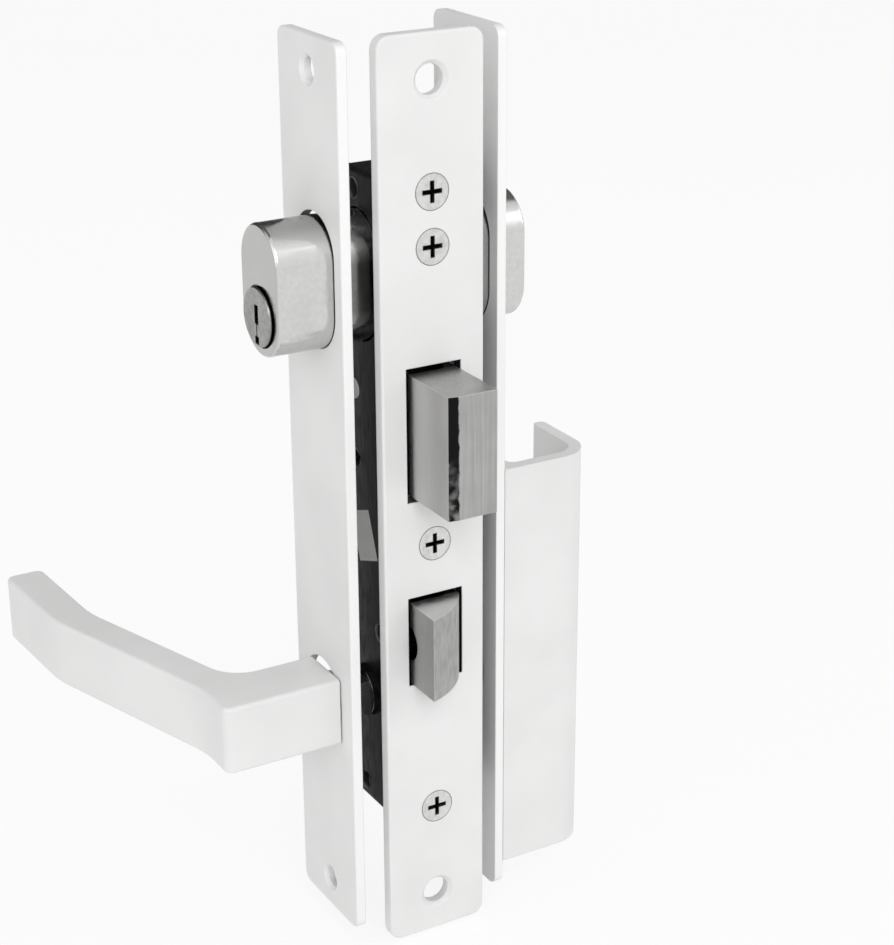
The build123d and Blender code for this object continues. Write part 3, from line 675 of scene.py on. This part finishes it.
# Painted shade on the latch's left side and painted light on its top
tint(latch, facing(latch.tree, x_axis, -1), shaded_latch_side)
tint(latch, facing(latch.tree, z_axis, 1), lit_latch_top)
darken_behind_face(latch, bolt_dark_from, bolt_dark_blur)
paint(latch, "latch_bolt")

# Screws: those in the faceplate get painted shade in their crossed recesses and on their rims
face_screw = brushed_metal("face_screw_zinc", zinc, zinc_shade, grain_fine, edge=shaded_rim_grey)
darken_behind_face(face_screw, recess_dark_from, recess_dark_blur)
paint(face_screw, "faceplate_screws", "cylinder_screw")
screw = brushed_metal("screw_zinc", zinc, zinc_shade, grain_fine)
paint(screw, "lever_set_screw", "pull_screws")

# Steel and brass pieces inside the case
plain_steel = brushed_metal("plain_steel", steel, steel_shade, grain_y, guide_roughness)
paint(plain_steel, "bolt_guide_left", "bolt_guide_right", "latch_guide_left", "latch_guide_right", "cam")
turned_steel = brushed_metal("turned_steel", steel, steel_shade, grain_x)
paint(turned_steel, "spindle", "clutch_core")
spring_wire = brushed_metal("spring_wire", steel, steel_shade, grain_fine)
paint(spring_wire, "latch_spring", "hub_spring", "left_plug_clip", "right_plug_clip")
make_spring("latch_spring", spring_wire)
make_spring("hub_spring", spring_wire)
turned_brass = brushed_metal("turned_brass", brass, brass_shade, grain_z)
paint(turned_brass, "driver_pins", "left_key_pins", "right_key_pins")

# Black pieces: the case with its paper patch, its rivets, one with a painted glint, and the lever's hub
case_black = black_steel("case_black", case_wear, steel_shade)
stick_paper(case_black)
paint(case_black, "case_body", "case_cover")
rivet = black_steel("rivet_black", case_wear, steel)
rivet_low = (None, None, glint_rivet_low)
rivet_high = (None, None, glint_rivet_high)
# A painted glint makes one rivet white
tint(rivet, inside(rivet.tree, rivet.point, rivet_low, rivet_high, glint_rivet_blur), paper_edge_and_glint)
paint(rivet, "case_posts", "guide_rivets")
# The hub's bright edges are part wear, part a painted glint
paint(black_steel("hub_black", hub_wear_and_glint, zinc), "hub")


def look_matrix():
    """The camera's place and axes."""
    forward = Vector((
        math.sin(camera_yaw) * math.cos(camera_down),
        math.cos(camera_yaw) * math.cos(camera_down),
        -math.sin(camera_down),
    ))
    right = Vector((math.cos(camera_yaw), -math.sin(camera_yaw), 0.0))
    up = right.cross(forward)
    turned_right = right * math.cos(camera_roll) + up * math.sin(camera_roll)
    turned_up = up * math.cos(camera_roll) - right * math.sin(camera_roll)
    axes = Matrix((turned_right, turned_up, -forward)).transposed()
    return Matrix.Translation(camera_place) @ axes.to_4x4()


def make_camera():
    """The camera, whose lens gives the picture's focal length on its longer side."""
    lens = bpy.data.cameras.new("camera")
    lens.sensor_width = sensor_mm
    lens.lens = sensor_mm * focal_pixels / max(picture_width, picture_height)
    lens.clip_start = clip_near
    lens.clip_end = clip_far
    holder = bpy.data.objects.new("camera", lens)
    scene.collection.objects.link(holder)
    holder.matrix_world = look_matrix()
    scene.camera = holder


def make_lamp(name, place, size, power):
    """A square soft lamp that faces the origin."""
    lamp = bpy.data.lights.new(name, "AREA")
    lamp.size = size
    lamp.energy = power
    holder = bpy.data.objects.new(name, lamp)
    scene.collection.objects.link(holder)
    holder.location = place
    holder.rotation_euler = (-Vector(place)).to_track_quat("-Z", "Y").to_euler()


def seen_white(tree):
    """1 for what the camera, a mirror-like surface or a clear one sees, and 0 for what only lights."""
    path = add(tree, "LightPath")
    share = combined(tree, "MAXIMUM", path.outputs["Is Camera Ray"], path.outputs["Is Glossy Ray"])
    return combined(tree, "MAXIMUM", share, path.outputs["Is Transmission Ray"])


def make_world():
    """Even light from all round, and white where the camera sees past the floor."""
    world = bpy.data.worlds.new("studio")
    scene.world = world
    world.use_nodes = True
    tree = world.node_tree
    background = tree.nodes["Background"]
    background.inputs["Color"].default_value = (1.0, 1.0, 1.0, 1.0)
    strength = spread(tree, seen_white(tree), (0.0, 1.0), (ambient_strength, 1.0))
    tree.links.new(strength, background.inputs["Strength"])


def make_panel(name, corners, light, shade):
    """A four-cornered stage piece with a faintly clouded matt surface."""
    mesh = bpy.data.meshes.new(name)
    mesh.from_pydata(corners, [], [(0, 1, 2, 3)])
    panel = bpy.data.objects.new(name, mesh)
    scene.collection.objects.link(panel)
    finish = new_finish(name)
    cloud = noise(finish.tree, finish.point, stage_cloud)
    finish.tree.links.new(mixed(finish.tree, cloud, light, shade), finish.surface.inputs["Base Color"])
    finish.surface.inputs["Roughness"].default_value = stage_roughness
    mesh.materials.append(finish.material)
    return panel, finish


def make_floor():
    """A white floor at the lowest point, which takes a soft shadow."""
    half = floor_size / 2
    level = cad_low[z_axis] - floor_drop
    corners = [(-half, -half, level), (half, -half, level), (half, half, level), (-half, half, level)]
    finish = make_panel("floor", corners, floor_light, floor_shade)[1]
    tree = finish.tree
    glow = add(tree, "Emission", Strength=1.0)
    blend = add(tree, "MixShader")
    share = combined(tree, "MULTIPLY", seen_white(tree), 1.0 - floor_shadow_share)
    tree.links.new(share, blend.inputs[0])
    tree.links.new(finish.surface.outputs[0], blend.inputs[1])
    tree.links.new(glow.outputs[0], blend.inputs[2])
    tree.links.new(blend.outputs[0], tree.nodes["Material Output"].inputs["Surface"])


def make_screen(name, low, high, light, shade):
    """A screen that only mirror-like surfaces see, so that polished metal shows light and dark."""
    low_right = (high[x_axis], low[y_axis], low[z_axis])
    high_left = (low[x_axis], high[y_axis], high[z_axis])
    corners = [low, low_right, high, high_left]
    panel = make_panel(name, corners, light, shade)[0]
    panel.visible_camera = False
    panel.visible_diffuse = False
    panel.visible_shadow = False
    panel.visible_transmission = False


make_camera()
make_world()
make_floor()
make_screen("rear_screen", rear_screen["low"], rear_screen["high"], dark_screen, dark_screen_shade)
make_screen("top_screen", top_screen["low"], top_screen["high"], grey_screen, grey_screen_shade)
for lamp_name, (lamp_place, lamp_size, lamp_power) in lamps.items():
    make_lamp(lamp_name, lamp_place, lamp_size, lamp_power)

scene.view_settings.view_transform = "Standard"
